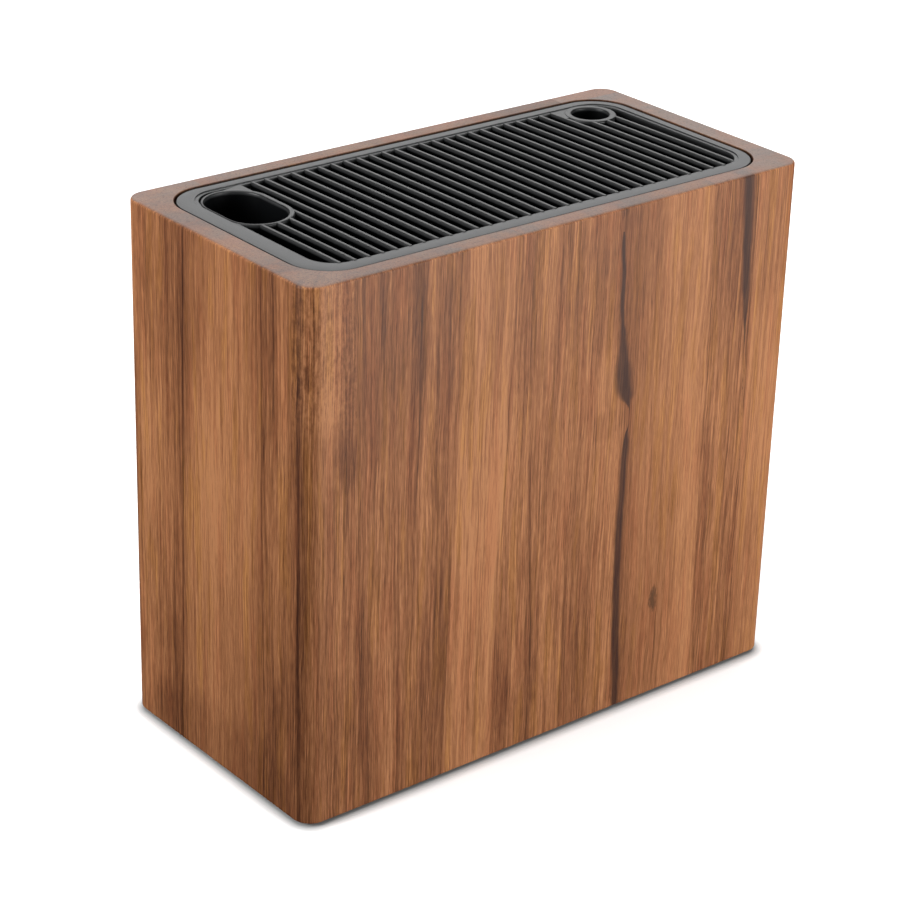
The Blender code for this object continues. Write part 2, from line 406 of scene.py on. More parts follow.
def across_stave(graph, x, y, z, run, edges, seed):
    """The wavy coordinate across the grain in millimetres, and the fraction of the stave's width."""
    along_x, along_y, offset = run
    turned = graph.add(graph.multiply(x, along_x), graph.multiply(y, along_y))
    straight = graph.add(turned, offset)
    sway = graph.stray(straight, z, (0.02, 0.008), seed, SWAY_MM, 1.0)
    wave = graph.stray(straight, z, (0.12, 0.03), seed, WAVE_MM, 2.0)
    across = graph.add(straight, graph.add(sway, wave))
    (left, left_lean), (right, right_lean) = edges
    start = graph.add(graph.multiply(z, left_lean), left)
    width = graph.add(graph.multiply(z, right_lean - left_lean), right - left)
    fraction = graph.math("DIVIDE", graph.subtract(across, start), width)
    return across, fraction


def streaks(graph, across, depth, z, seed, width, length, detail):
    """Noise drawn out along the grain: about so wide and so long, in millimetres."""
    at = graph.vector(
        graph.multiply(across, 1 / width),
        graph.add(graph.multiply(depth, 1 / width), seed),
        graph.multiply(z, 1 / length),
    )
    return graph.noise(at, detail, 0.55)


def line_mask(graph, across, z, top, bottom, width, low, high):
    """A thin dark line that leans from one place at the top of the case to another at its foot."""
    lean = (top - bottom) / (CASE_TOP / MM)
    centre = graph.add(graph.multiply(z, lean), bottom)
    away = graph.math("ABSOLUTE", graph.subtract(across, centre))
    mask = graph.fade(away, width, width * 0.2)
    mask = graph.multiply(mask, graph.fade(z, low - LINE_END_MM, low + LINE_END_MM))
    return graph.multiply(mask, graph.fade(z, high + LINE_END_MM, high - LINE_END_MM))


def vein_mask(graph, x, z, vein):
    """A mineral streak: its middle and its half width both change along the grain."""
    height = graph.multiply(z, MM / CASE_TOP)
    places = [(z_mm * MM / CASE_TOP, middle) for z_mm, middle, _ in vein]
    widths = [(z_mm * MM / CASE_TOP, half) for z_mm, _, half in vein]
    middles = [middle for _, middle in places]
    low, high = min(middles) - 4, max(middles) + 4
    middle = graph.curve(height, places, low, high)
    half = graph.curve(height, widths, 0.0, 4.0)
    ragged = graph.stray(x, z, (0.5, 0.06), 3.1, 2.4, 3.0, 0.6)
    away = graph.math("ABSOLUTE", graph.subtract(graph.add(x, ragged), middle))
    ratio = graph.math("DIVIDE", away, graph.math("MAXIMUM", half, 0.05))
    return graph.fade(ratio, 1.75, 0.5)


def oval(graph, x, z, middle_x, middle_z, half_width, half_height):
    """The square of the distance from the middle of an upright oval, 1 on its edge."""
    dx = graph.multiply(graph.subtract(x, middle_x), 1 / half_width)
    dz = graph.multiply(graph.subtract(z, middle_z), 1 / half_height)
    return graph.add(graph.multiply(dx, dx), graph.multiply(dz, dz))


def knot_mask(graph, x, z, knot):
    """A small oval knot with a ragged edge."""
    wobble = graph.stray(x, z, (1.3, 0.4), 7.7, 2.4, 3.0)
    return graph.fade(graph.add(oval(graph, x, z, *knot), wobble), 1.3, 0.2)


def patch_mask(graph, x, z, patch):
    """A soft cloud of another tone."""
    wobble = graph.stray(x, z, (0.3, 0.08), 2.3, 1.6, 3.0)
    return graph.fade(graph.add(oval(graph, x, z, *patch[:4]), wobble), 1.6, 0.1)


def three_levels(graph, fraction, height, grain):
    """The tone across the stave, which changes from its foot to its middle and to its top, partly in the
    wood's own tone and partly as painted shade.
    """
    lower = graph.ramp(fraction, grain.lower)
    middle = graph.ramp(fraction, grain.middle)
    upper = graph.ramp(fraction, grain.upper)
    below = graph.mix(graph.fade(height, *LOWER_TO_MIDDLE_MM), lower, middle)
    return graph.mix(graph.fade(height, *MIDDLE_TO_UPPER_MM), below, upper)


def curl(graph, across, depth, z):
    """Short wavy flecks of curly figure near the top of a corner stave."""
    at = graph.stretched(across, depth, z, CURL_SCALES)
    flecks = graph.subtract(graph.noise(at, 3.0, 0.65), 0.5)
    return graph.multiply(flecks, graph.fade(z, *CURL_STARTS_MM))


def end_grain(graph, x, y, color, seed, sawn_tone_and_reflection):
    """The sawn tops of the staves: greyer, in changing casts, with dark specks of open pores."""
    bright, reflected_cool = sawn_tone_and_reflection
    # Partly a painted reflection: the brighter, cooler tint over some sawn tops, on top of each stave's
    # own tone
    tint = (bright, bright * (1 + 0.2 * reflected_cool), bright * (1 + 0.3 * reflected_cool), 1.0)
    at = graph.vector(graph.multiply(x, 1.1), graph.multiply(y, 1.1), seed)
    speckle = graph.noise(at, 3.0, 0.6)
    cast_at = graph.vector(graph.multiply(x, 0.06), graph.multiply(y, 0.06), seed + 4)
    cast = graph.mix(graph.fade(graph.noise(cast_at, 3.0), 0.38, 0.62), SAWN_GREY, SAWN_PINK)
    cast = graph.mix(1.0, cast, tint, "MULTIPLY")
    sawn = graph.mix(SAWN_SHARE, color, cast)
    specks = graph.mix(0.35, sawn, VEIN_COLOR)
    sawn = graph.mix(graph.fade(speckle, 0.5, 0.72), sawn, specks)
    return graph.mix(graph.fade(graph.upward(), *SAWN_FACES_UP), color, sawn)


def painted_rebate_shade(graph, x, y, z, color):
    """Painted shade on the routed inside of the case, which lies in shadow in the gap round the insert
    and below it.
    """
    edge_x = (HALF_WIDTH - RIM - END_EXTRA) / MM
    edge_y = (HALF_DEPTH - RIM) / MM
    unshaded_edge, shaded_edge = REBATE_SHADE_EDGE_MM
    mask = graph.fade(z, CASE_TOP / MM, CASE_TOP / MM - REBATE_SHADE_DROP_MM)
    for socket, edge in ((x, edge_x), (y, edge_y)):
        inside = graph.fade(graph.math("ABSOLUTE", socket), edge + unshaded_edge, edge + shaded_edge)
        mask = graph.multiply(mask, inside)
    return graph.mix(graph.multiply(mask, REBATE_SHADE_SHARE), color, REBATE_SHADE_COLOR)


def wood(name, grain, run, edges, seed, sawn_tone_and_reflection=(1.0, 0.0)):
    """Oiled acacia: broad tone across the stave, streaks, growth lines, pores and end grain."""
    graph = Graph(name)
    x, y, z = graph.place()
    across, fraction = across_stave(graph, x, y, z, run, edges, seed)
    long_wall = abs(run[0]) > abs(run[1])
    front, depth = (x, y) if long_wall else (y, x)

    def layer(offset, streak, detail=2.0):
        return streaks(graph, across, depth, z, seed + offset, *streak, detail)

    micro = layer(3, MICRO_STREAK)
    fine = layer(0, FINE_STREAK)
    medium = layer(5, MEDIUM_STREAK)
    drift = layer(7, DRIFT_STREAK)
    rings = layer(9, RING_STREAK, 1.0)
    growth = graph.fade(graph.math("ABSOLUTE", graph.subtract(rings, 0.5)), 0.035, 0.0)
    pores = graph.fade(layer(2, PORE_STREAK, 1.0), 0.58, 0.74)

    height = graph.add(z, graph.multiply(graph.subtract(drift, 0.5), LEVEL_DRIFT_MM))
    tone = three_levels(graph, fraction, height, grain)
    amounts = (MICRO_AMOUNT, FINE_AMOUNT, MEDIUM_AMOUNT, DRIFT_AMOUNT)
    for noise, amount in zip((micro, fine, medium, drift), amounts):
        change = graph.multiply(graph.subtract(noise, 0.5), amount * grain.contrast)
        tone = graph.add(tone, change)
    tone = graph.subtract(tone, graph.multiply(growth, RING_AMOUNT * grain.contrast))
    tone = graph.subtract(tone, graph.multiply(pores, PORE_AMOUNT * grain.contrast))
    if grain.figure:
        tone = graph.add(tone, graph.multiply(curl(graph, across, depth, z), grain.figure))
    for patch in grain.patches:
        tone = graph.add(tone, graph.multiply(patch_mask(graph, across, z, patch), patch[4]))
    for top, bottom, width, strength, low, high in grain.lines:
        mask = line_mask(graph, across, z, top, bottom, width, low, high)
        tone = graph.subtract(tone, graph.multiply(mask, strength))

    color = graph.ramp(tone, PALETTE)
    reddish = layer(13, CAST_STREAK)
    color = graph.mix(graph.fade(reddish, 0.5, 0.68), color, RED_CAST, "MULTIPLY")
    color = graph.mix(graph.fade(reddish, 0.48, 0.34), color, YELLOW_CAST, "MULTIPLY")
    streaky = graph.add(0.62, graph.multiply(graph.fade(fine, 0.34, 0.6), 0.32))
    marks = [(vein_mask(graph, front, z, vein), VEIN_COLOR) for vein in grain.veins]
    marks += [(knot_mask(graph, front, z, knot), KNOT_COLOR) for knot in grain.knots]
    for mask, mark_color in marks:
        color = graph.mix(graph.multiply(mask, streaky), color, mark_color)
    color = end_grain(graph, x, y, color, seed, sawn_tone_and_reflection)
    # Painted shade inside the routed rebate and the hollow below it
    color = painted_rebate_shade(graph, x, y, z, color)
    graph.look("Base Color", color)

    graph.look("Specular IOR Level", WOOD_SHEEN)
    graph.look("Roughness", graph.add(WOOD_ROUGHNESS, graph.multiply(fine, 0.18)))
    relief = graph.subtract(graph.multiply(fine, 0.5), graph.multiply(pores, 0.9))
    graph.bump(relief, WOOD_RELIEF, 0.7)
    return graph.material


def plastic(name, shaded_color, shaded_shine):
    """Satin black moulded plastic with a fine texture, rubbed a little paler where blades slide.

    Its sides are paler and its shine higher at the mouth. Elsewhere and deeper down it is near black and
    duller, which is painted shade for the slots and chutes.
    """
    graph = Graph(name)
    x, y, z = graph.place()
    spark = graph.noise(graph.stretched(x, y, z, SPARK_SCALES), 2.0)
    cloud = graph.noise(graph.stretched(x, y, z, CLOUD_SCALES), 3.0)
    rub = graph.noise(graph.stretched(x, y, z, RUB_SCALES), 3.0)
    worn = graph.multiply(graph.fade(rub, 0.56, 0.72), graph.fade(graph.upward(), 0.2, 0.9))
    brighter = tuple(2 * part for part in shaded_color)
    color = graph.mix(cloud, (*shaded_color, 1.0), (*brighter, 1.0))
    color = graph.mix(graph.multiply(worn, 0.35), color, WORN_PLASTIC)
    # Painted shade: below the mouth the sides turn near black and the shine drops
    ledge = LEDGE_TOP / MM
    mouth = graph.fade(z, ledge - MOUTH_STARTS_MM, ledge - MOUTH_ENDS_MM)
    sides = graph.multiply(mouth, graph.fade(graph.upward(), 0.75, 0.25))
    color = graph.mix(sides, color, MOUTH_SIDES)
    graph.look("Base Color", color)
    shine = graph.add(shaded_shine, graph.multiply(mouth, MOUTH_SHINE - shaded_shine))
    graph.look("Specular IOR Level", shine)
    roughness = graph.add(PLASTIC_ROUGHNESS, graph.multiply(spark, 0.1))
    roughness = graph.add(roughness, graph.multiply(worn, 0.06))
    graph.look("Roughness", roughness)
    graph.bump(spark, PLASTIC_RELIEF, 0.6)
    return graph.material


def rubber(name):
    """Dull grey-black rubber with a dusty bloom."""
    graph = Graph(name)
    x, y, z = graph.place()
    bloom = graph.noise(graph.stretched(x, y, z, BLOOM_SCALES), 4.0)
    color = graph.mix(graph.fade(bloom, 0.4, 0.7), RUBBER_BLACK, RUBBER_BLOOM)
    graph.look("Base Color", color)
    graph.look("Roughness", graph.add(RUBBER_ROUGHNESS, graph.multiply(bloom, 0.2)))
    graph.bump(bloom, RUBBER_RELIEF)
    return graph.material


# ---- shapes


def finish_piece(name, bm, made, body, slot, *nodes, sharp=35):
    """Turns a bmesh into a smooth-shaded piece that rides on a body and stands for CAD nodes."""
    bmesh.ops.recalc_face_normals(bm, faces=bm.faces)
    mesh = bpy.data.meshes.new(name)
    bm.to_mesh(mesh)
    bm.free()
    mesh.materials.append(made)
    mesh.shade_smooth()
    mesh.set_sharp_from_angle(angle=math.radians(sharp))
    piece = bpy.data.objects.new(name, mesh)
    bpy.context.scene.collection.objects.link(piece)
    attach(piece, body)
    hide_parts(*nodes)


def rounded_rectangle(left, right, front, back, corner, z):
    """The points of one level ring, anticlockwise from the right end of the front side."""
    centres = [
        (right - corner, front + corner, -90),
        (right - corner, back - corner, 0),
        (left + corner, back - corner, 90),
        (left + corner, front + corner, 180),
    ]
    points = []
    for x, y, start in centres:
        for step in range(CORNER_STEPS + 1):
            angle = math.radians(start + 90 * step / CORNER_STEPS)
            points.append((x + corner * math.cos(angle), y + corner * math.sin(angle), z))
    return points


def case_ring(inset, corner, z, end_extra=0.0):
    """A level ring at one distance inside the case's outside."""
    width = HALF_WIDTH - inset - end_extra
    depth = HALF_DEPTH - inset
    return rounded_rectangle(-width, width, -depth, depth, corner, z)


def hollow_ring(inset, corner, z):
    """A level ring inside the case, set in further at the ends, where the walls are thicker."""
    return case_ring(inset, corner, z, END_EXTRA)


def oval_ring(x, y, straight, radius, z):
    """A level ring with round ends and straight sides along Y; with no straight it is a circle."""
    points = []
    for shift, start in ((straight, 0.0), (-straight, math.pi)):
        for step in range(HALF_ROUND_STEPS + (1 if straight else 0)):
            angle = start + math.pi * step / HALF_ROUND_STEPS
            points.append((x + radius * math.cos(angle), y + shift + radius * math.sin(angle), z))
    return points


def skin(bm, pairs):
    """Faces between each pair of loops of equally many points."""
    for lower, upper in pairs:
        for index in range(len(lower)):
            after = (index + 1) % len(lower)
            bm.faces.new((lower[index], lower[after], upper[after], upper[index]))


def loft(rings, hollow):
    """Skins a stack of rings. A hollow solid joins the last ring to the first, others get caps."""
    bm = bmesh.new()
    loops = [[bm.verts.new(point) for point in ring] for ring in rings]
    pairs = list(zip(loops, loops[1:]))
    if hollow:
        pairs.append((loops[-1], loops[0]))
    skin(bm, pairs)
    if not hollow:
        bm.faces.new(loops[0])
        bm.faces.new(loops[-1])
    return bm


def quarter(radius):
    """Steps round a quarter circle, as (inset from the side, drop below the top)."""
    for step in range(EASE_STEPS + 1):
        angle = math.radians(90 * step / EASE_STEPS)
        yield radius * (1 - math.cos(angle)), radius * (1 - math.sin(angle))


def case_body():
    """The whole ring of walls in one piece, before it is divided into staves."""
    rings = []
    for inset, drop in reversed(list(quarter(BOTTOM_EASE))):
        rings.append(case_ring(inset, CASE_CORNER - inset, CASE_BOTTOM + drop))
    for inset, drop in quarter(TOP_EASE):
        rings.append(case_ring(inset, CASE_CORNER - inset, CASE_TOP - drop))
    for inset, drop in reversed(list(quarter(RIM_EASE))):
        rings.append(hollow_ring(RIM - inset, REBATE_CORNER + inset, CASE_TOP - drop))
    rings += [
        hollow_ring(RIM, REBATE_CORNER, SHELF),
        hollow_ring(WALL, CAVITY_CORNER, SHELF),
        hollow_ring(WALL, CAVITY_CORNER, CASE_BOTTOM),
    ]
    return loft(rings, hollow=True)


def cut(bm, point, normal):
    """Cuts a solid with one plane, takes away what the normal points at, and closes the cut."""
    geometry = bm.verts[:] + bm.edges[:] + bm.faces[:]
    bmesh.ops.bisect_plane(
        bm, geom=geometry, dist=1e-7, plane_co=point, plane_no=normal, clear_outer=True
    )
    open_edges = [edge for edge in bm.edges if edge.is_boundary]
    bmesh.ops.holes_fill(bm, edges=open_edges, sides=0)


def slanted_cut(bm, axis, place, lean, side):
    """Cuts at a glued joint that crosses mid height at one place and leans along the wall."""
    point = Vector((0, 0, CASE_TOP / 2))
    point[axis] = place
    normal = Vector((0, 0, -lean * side))
    normal[axis] = side
    cut(bm, point, normal)


# ---- grain of each stave

# How far each joint of the front and the left wall moves sideways for each unit of height
FRONT_LEANS = (-0.029, 0.022, 0.031, -0.027, -0.017, -0.013)
LEFT_LEANS = (0.005, -0.026)

MINERAL_STREAK = [
    (0, 36.5, 0.9),
    (20, 35.9, 1.8),
    (40, 34.4, 1.7),
    (62, 33.6, 1.7),
    (82, 33.2, 1.8),
    (100, 33.6, 1.5),
    (118, 34.0, 1.5),
    (127, 34.4, 0.7),
    (134, 35.3, 0.1),
    (143, 33.6, 2.4),
    (151, 31.2, 3.7),
    (161, 30.4, 2.6),
    (171, 29.6, 1.4),
    (182, 28.4, 0.8),
    (196, 28.2, 0.8),
    (208, 27.0, 0.8),
    (216, 26.8, 0.1),
]
TOP_STRIPE = [
    (148, 97.8, 0.0),
    (162, 97.0, 0.8),
    (175, 96.1, 1.6),
    (190, 95.3, 2.0),
    (208, 94.3, 2.4),
    (225, 93.3, 2.6),
]

FRONT_GRAIN = [
    # The front-left corner stave. The dark band where it turns round the corner, and the darker patch at
    # the top of that turn, are partly grain and partly painted shade. The paler patch on the rounded
    # corner near the top is partly paler wood and partly a painted highlight.
    Grain(
        upper=[
            (0, 0.62), (0.08, 0.56), (0.12, 0.3), (0.15, 0.58), (0.21, 0.8), (0.36, 0.76), (0.39, 0.48),
            (0.42, 0.72), (0.55, 0.86), (0.72, 0.82), (0.8, 0.58), (1, 0.55),
        ],
        middle=[
            (0, 0.58), (0.1, 0.5), (0.14, 0.26), (0.18, 0.5), (0.3, 0.58), (0.4, 0.62), (0.5, 0.74),
            (0.6, 0.66), (0.7, 0.76), (1, 0.64),
        ],
        lower=[
            (0, 0.46), (0.11, 0.4), (0.15, 0.24), (0.19, 0.46), (0.34, 0.54), (0.5, 0.64), (0.75, 0.64),
            (1, 0.6),
        ],
        lines=[(-102.0, -96.6, 0.77, 0.19, 60, 165)],
        patches=[(-114, 176, 6, 10, 0.12), (-106, 153, 5, 12, -0.2), (-124.5, 190, 2.2, 6, -0.3)],
        figure=0.9,
        contrast=1.15,
    ),
    Grain(
        upper=[
            (0, 0.52), (0.12, 0.57), (0.45, 0.56), (0.52, 0.58), (0.6, 0.49), (0.64, 0.54), (0.7, 0.68),
            (0.78, 0.64), (0.88, 0.54), (0.94, 0.58), (1, 0.66),
        ],
        middle=[
            (0, 0.53), (0.07, 0.68), (0.2, 0.73), (0.33, 0.83), (0.4, 0.7), (0.48, 0.74), (0.54, 0.66),
            (0.66, 0.78), (0.74, 0.66), (0.87, 0.62), (0.93, 0.7), (1, 0.72),
        ],
        lower=[
            (0, 0.48), (0.1, 0.5), (0.2, 0.64), (0.28, 0.8), (0.34, 0.76), (0.4, 0.58), (0.5, 0.53),
            (0.58, 0.64), (0.66, 0.62), (0.86, 0.52), (1, 0.54),
        ],
        lines=[
            (-70.5, -74.5, 0.85, 0.18, 60, 225),
            (-80.5, -80.0, 0.59, 0.22, 0, 135),
            (-90.0, -93.0, 0.51, 0.12, 100, 225),
            (-58.0, -58.0, 1.7, 0.08, 130, 190),
        ],
    ),
    Grain(
        upper=[(0, 0.68), (0.1, 0.82), (0.45, 0.87), (0.66, 0.75), (0.88, 0.84), (1, 0.68)],
        middle=[(0, 0.76), (0.1, 0.9), (0.5, 0.93), (0.85, 1.0), (1, 0.86)],
        lower=[(0, 0.72), (0.12, 0.8), (0.5, 0.87), (0.85, 0.9), (1, 0.74)],
        lines=[(-51.6, -55.8, 0.51, 0.19, 150, 225), (-25.8, -31.2, 0.51, 0.23, 20, 225)],
        contrast=0.85,
    ),
    Grain(
        upper=[
            (0, 0.68), (0.05, 0.72), (0.12, 0.56), (0.17, 0.61), (0.22, 0.78), (0.32, 0.8), (0.4, 0.62),
            (0.47, 0.74), (0.53, 0.64), (0.6, 0.74), (0.68, 0.66), (0.84, 0.7), (0.9, 0.56), (1, 0.44),
        ],
        middle=[
            (0, 0.86), (0.06, 0.84), (0.1, 0.75), (0.15, 0.82), (0.2, 0.7), (0.27, 0.82), (0.35, 0.68),
            (0.42, 0.88), (0.5, 0.8), (0.56, 0.76), (0.68, 0.78), (0.8, 0.85), (0.95, 0.84), (1, 0.6),
        ],
        lower=[
            (0, 0.62), (0.05, 0.56), (0.14, 0.73), (0.2, 0.64), (0.27, 0.55), (0.33, 0.68), (0.37, 0.78),
            (0.5, 0.7), (0.56, 0.62), (0.7, 0.6), (0.8, 0.7), (0.91, 0.77), (1, 0.6),
        ],
        lines=[
            (-20.9, -9.8, 1.1, 0.26, 15, 135),
            (-7.0, -6.6, 0.51, 0.19, 75, 128),
            (-4.0, -6.0, 0.59, 0.16, 140, 225),
            (5.2, 5.2, 0.42, 0.14, 140, 225),
            (12.0, 12.4, 0.42, 0.12, 140, 225),
            (-22.0, -28.5, 0.42, 0.16, 60, 225),
        ],
        veins=[MINERAL_STREAK],
        patches=[(17, 154, 8, 13, 0.1), (-26, 22, 5, 24, -0.1), (22, 134, 9, 6, -0.08)],
    ),
    Grain(
        upper=[
            (0, 0.46), (0.07, 0.58), (0.22, 0.56), (0.4, 0.78), (0.6, 0.82), (0.67, 0.76), (0.9, 0.88),
            (1, 0.74),
        ],
        middle=[
            (0, 0.52), (0.07, 0.58), (0.14, 0.73), (0.35, 0.78), (0.6, 0.83), (0.67, 0.88), (0.72, 0.82),
            (0.87, 0.93), (1, 0.84),
        ],
        lower=[
            (0, 0.48), (0.14, 0.65), (0.36, 0.78), (0.45, 0.68), (0.55, 0.75), (0.64, 0.83), (0.8, 0.84),
            (0.93, 0.94), (1, 0.88),
        ],
        lines=[
            (62.0, 64.0, 0.68, 0.12, 60, 170),
            (56.6, 56.4, 0.42, 0.22, 52, 68),
            (56.2, 57.2, 0.47, 0.32, 10, 38),
            (50.2, 50.2, 0.51, 0.16, 184, 190),
            (63.0, 63.0, 0.59, 0.14, 192, 196),
        ],
        veins=[MINERAL_STREAK],
        knots=[(55.0, 46, 2.3, 6.5)],
        contrast=0.8,
    ),
    Grain(
        upper=[(0, 0.62), (0.12, 0.68), (0.25, 0.58), (0.62, 0.56), (0.7, 0.46), (1, 0.54)],
        middle=[
            (0, 0.78), (0.12, 0.7), (0.3, 0.83), (0.38, 0.85), (0.5, 0.72), (0.62, 0.66), (0.8, 0.74),
            (1, 0.74),
        ],
        lower=[(0, 0.8), (0.1, 0.65), (0.4, 0.64), (0.6, 0.7), (0.9, 0.63), (1, 0.66)],
        lines=[(96.6, 103.2, 0.59, 0.22, 120, 172), (86.0, 95.0, 0.59, 0.12, 5, 60)],
        veins=[TOP_STRIPE],
    ),
    Grain(
        upper=[(0, 0.8), (0.3, 0.77), (1, 0.78)],
        middle=[(0, 0.8), (0.1, 0.9), (0.3, 0.96), (1, 0.98)],
        lower=[(0, 0.68), (0.15, 0.74), (0.4, 0.81), (0.6, 0.9), (1, 0.9)],
        contrast=0.85,
    ),
]
# Painted shade: a patch over the whole foot of the left wall, which makes it a little darker towards the
# floor
FOOT_PAINTED_SHADE = (0, -4, 90, 32, -0.16)
LEFT_GRAIN = [
    Grain(
        upper=[(0, 0.68), (0.15, 0.77), (0.45, 0.76), (0.6, 0.46), (0.78, 0.56), (1, 0.52)],
        middle=[(0, 0.57), (0.2, 0.67), (0.45, 0.75), (0.7, 0.65), (1, 0.61)],
        lower=[(0, 0.47), (0.45, 0.59), (0.7, 0.53), (1, 0.49)],
        lines=[(-39.0, -39.0, 0.68, 0.19, 165, 225)],
        patches=[FOOT_PAINTED_SHADE],
    ),
    Grain(
        upper=[
            (0, 0.48), (0.05, 0.62), (0.12, 0.66), (0.24, 0.78), (0.55, 0.82), (0.7, 0.75), (0.88, 0.62),
            (0.95, 0.46), (1, 0.42),
        ],
        middle=[
            (0, 0.59), (0.06, 0.76), (0.2, 0.87), (0.33, 0.81), (0.45, 0.92), (0.56, 0.99), (0.8, 0.89),
            (0.9, 0.79), (1, 0.61),
        ],
        lower=[
            (0, 0.49), (0.06, 0.67), (0.25, 0.73), (0.45, 0.77), (0.63, 0.87), (0.8, 0.79), (0.92, 0.69),
            (1, 0.53),
        ],
        lines=[
            (18.6, 24.6, 0.94, 0.32, 0, 225),
            (-31.0, -33.0, 0.68, 0.26, 0, 225),
            (-14.0, -14.0, 0.34, 0.09, 120, 225),
            (-20.5, -20.5, 0.34, 0.12, 20, 80),
        ],
        contrast=0.85,
        patches=[FOOT_PAINTED_SHADE],
    ),
    Grain(
        upper=[(0, 0.42), (0.1, 0.52), (0.4, 0.56), (0.6, 0.7), (0.72, 0.64), (1, 0.76)],
        middle=[(0, 0.57), (0.1, 0.65), (0.35, 0.77), (0.6, 0.87), (1, 0.95)],
        lower=[(0, 0.49), (0.2, 0.57), (0.45, 0.65), (0.7, 0.77), (1, 0.87)],
        lines=[(35.0, 35.0, 0.42, 0.14, 0, 90)],
        patches=[FOOT_PAINTED_SHADE],
    ),
]
# How bright and how cool the sawn top of each stave is: partly each stave's own tone and partly a
# painted reflection, paler and cooler along the front and the right end
SAWN_TOP_TONES_AND_REFLECTIONS = {
    "front": [(1.0, 0.2), (0.95, 0.8), (0.85, 0.9), (1.05, 0.4), (0.95, 0.5), (1.25, 0.5), (1.15, 0.6)],
    "back": [(1.05, 0.5), (1.15, 0.1), (0.95, -0.1), (1.08, -0.2), (1.0, -0.2), (1.25, 0.3)],
    "left": [(1.0, 0.1), (0.97, 0.4), (1.0, 0.3)],
    "right": [(1.2, 0.8), (1.1, 0.9), (1.2, 0.9)],
}
BACK_TONES = (0.8, 0.62, 0.84, 0.7, 0.58, 0.8)
RIGHT_TONES = (0.66, 0.8, 0.58)


def random_grain(tone, seed):
    """Grain for a stave about which only its general tone is settled."""
    dice = random.Random(seed)
    stops = 9

    def bands():
        return [
            (index / (stops - 1), min(max(tone + dice.uniform(-0.16, 0.12), 0.2), 0.95))
            for index in range(stops)
        ]

    return Grain(upper=bands(), middle=bands(), lower=bands(), contrast=dice.uniform(0.75, 1.1))


# ---- case


def wall_joints(prefix, axis):
    """Where one wall's staves meet: halfway across the gap between neighbouring nodes."""
    boxes = []
    while f"{prefix}_stave_{len(boxes) + 1}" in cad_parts:
        boxes.append(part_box(f"{prefix}_stave_{len(boxes) + 1}"))
    return [(near[1][axis] + far[0][axis]) / 2 for near, far in zip(boxes, boxes[1:])]


def stave_edges(joints, leans, ends, index):
    """Where a stave's two sides stand at its foot, and how each leans, in millimetres."""
    middle = CASE_TOP / 2 / MM
    edges = [(end / MM, 0.0) for end in ends]
    for side, joint in ((0, index - 1), (1, index)):
        if 0 <= joint < len(joints):
            edges[side] = (joints[joint] / MM - leans[joint] * middle, leans[joint])
    return edges


def build_wall(prefix, axis, side, leans, grains, seed):
    """One wall in staves. The long walls run along X, the end walls along Y between them."""
    joints = wall_joints(prefix, axis)
    leans = leans or [0.0] * len(joints)
    other = 1 - axis
    wall_edge = HALF_DEPTH - WALL
    corner_edge = HALF_WIDTH - CAVITY_CORNER - WALL - END_EXTRA
    long_wall = axis == 0
    ends = [-HALF_WIDTH - WALL, HALF_WIDTH + WALL]
    if not long_wall:
        first, last = f"{prefix}_stave_1", f"{prefix}_stave_{len(grains)}"
        ends = [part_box(first)[0][axis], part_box(last)[1][axis]]
    for index, grain in enumerate(grains):
        bm = case_body()
        clear, point = Vector((0, 0, 0)), Vector((0, 0, 0))
        clear[other] = -side
        point[other] = side * (wall_edge if long_wall else corner_edge)
        cut(bm, point, clear)
        if not long_wall:
            for end in (-1, 1):
                cut(bm, Vector((0, end * wall_edge, 0)), Vector((0, end, 0)))
        if index > 0:
            slanted_cut(bm, axis, joints[index - 1], leans[index - 1], -1)
        if index < len(joints):
            slanted_cut(bm, axis, joints[index], leans[index], 1)
        edges = stave_edges(joints, leans, ends, index)
        run = grain_run(prefix, index, len(grains), side)
        node = f"{prefix}_stave_{index + 1}"
        sawn_tone_and_reflection = SAWN_TOP_TONES_AND_REFLECTIONS[prefix][index]
        made = wood(f"acacia_{node}", grain, run, edges, seed + 1.7 * index, sawn_tone_and_reflection)
        finish_piece(f"{node}_wood", bm, made, "case", "acacia", node)


def grain_run(prefix, index, count, side):
    """How the coordinate across the grain is made up of X and Y, in millimetres.

    At a corner of the case it turns with the surface, so that the grain carries on round it.
    """
    face = side * HALF_DEPTH / MM
    if prefix in ("left", "right"):
        return 0.25, 1.0, -0.25 * side * HALF_WIDTH / MM
    if index == 0:
        return 1.0, side * 1.0, -HALF_DEPTH / MM
    if index == count - 1:
        return 1.0, side * -1.0, HALF_DEPTH / MM
    return 1.0, 0.4, -0.4 * face


def build_case():
    build_wall("front", 0, -1, FRONT_LEANS, FRONT_GRAIN, 3.1)
    build_wall("left", 1, -1, LEFT_LEANS, LEFT_GRAIN, 21.3)
    back = [random_grain(tone, 40 + index) for index, tone in enumerate(BACK_TONES)]
    right = [random_grain(tone, 60 + index) for index, tone in enumerate(RIGHT_TONES)]
    build_wall("back", 0, 1, None, back, 43.7)
    build_wall("right", 1, 1, None, right, 65.9)


def build_base():
    """The board between the walls, with its edges eased and its grain along the case."""
    low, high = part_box("base_board")
    levels = [(inset, low.z + drop) for inset, drop in reversed(list(quarter(BASE_EASE)))]
    levels += [(inset, high.z - drop) for inset, drop in quarter(BASE_EASE)]
    rings = []
    for inset, z in levels:
        left, right = low.x + inset, high.x - inset
        front, back = low.y + inset, high.y - inset
        rings.append(rounded_rectangle(left, right, front, back, CAVITY_CORNER - inset, z))
    grain = random_grain(0.7, 80)
    edges = [(low.y / MM, 0.0), (high.y / MM, 0.0)]
    made = wood("acacia_base_board", grain, (0.0, 1.0, 0.0), edges, 81.3)
    finish_piece("base_board_wood", loft(rings, hollow=False), made, "case", "acacia", "base_board")


